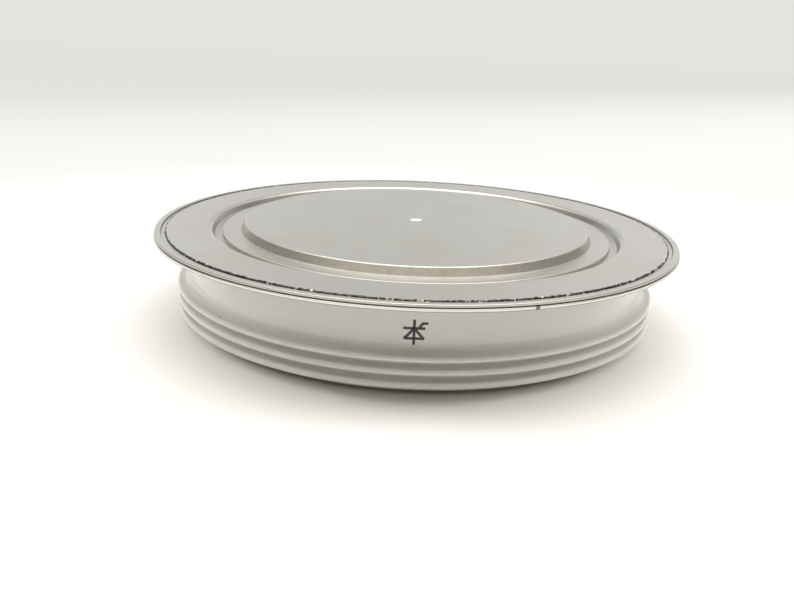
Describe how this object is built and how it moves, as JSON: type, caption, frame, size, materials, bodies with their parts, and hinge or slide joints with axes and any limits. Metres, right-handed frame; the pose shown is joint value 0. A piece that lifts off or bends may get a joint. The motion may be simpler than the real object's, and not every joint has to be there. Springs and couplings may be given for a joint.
{
  "type": "disc thyristor",
  "caption": "Flat disc thyristor in a pressure-contact housing: nickel-plated copper poles, a ribbed white ceramic ring, a welded flange rim and gate tabs at the back.",
  "frame": {"origin": "centre of the anode contact face, at the mouth of its locating hole, in the plane that the disc lies on", "axes": "+Z along the disc's axis from the anode face to the cathode face; +Y towards the gate tabs; +X to the right when the tabs point away"},
  "size_m": [0.15, 0.156, 0.026],
  "materials": {
    "nickel_plate": "satin nickel plating on copper",
    "nickel_sheet": "satin nickel-plated copper sheet",
    "white_ceramic": "white glazed alumina",
    "molybdenum": "lapped molybdenum",
    "silicon": "polished silicon",
    "silicone_rubber": "white silicone rubber",
    "white_plastic": "white fluoropolymer",
    "spring_steel": "bare spring metal",
    "gate_metal": "nickel",
    "tab_metal": "tinned sheet"
  },
  "bodies": {
    "root": {"cathode_pole": "nickel_plate", "cathode_flange": "nickel_sheet", "weld_ring": "nickel_sheet", "ceramic_ring": "white_ceramic", "anode_flange": "nickel_sheet", "anode_pole": "nickel_plate", "anode_molybdenum_disc": "molybdenum", "silicon_wafer": "silicon", "edge_passivation": "silicone_rubber", "cathode_molybdenum_disc": "molybdenum", "centring_ring": "white_plastic", "gate_cup": "white_plastic", "gate_spring": "spring_steel", "gate_pin": "spring_steel", "gate_lead": "gate_metal", "gate_lead_sleeve": "white_plastic", "gate_tube": "gate_metal", "gate_eyelet": "gate_metal", "gate_tab": "tab_metal", "auxiliary_cathode_tab": "tab_metal"}
  },
  "joints": []
}
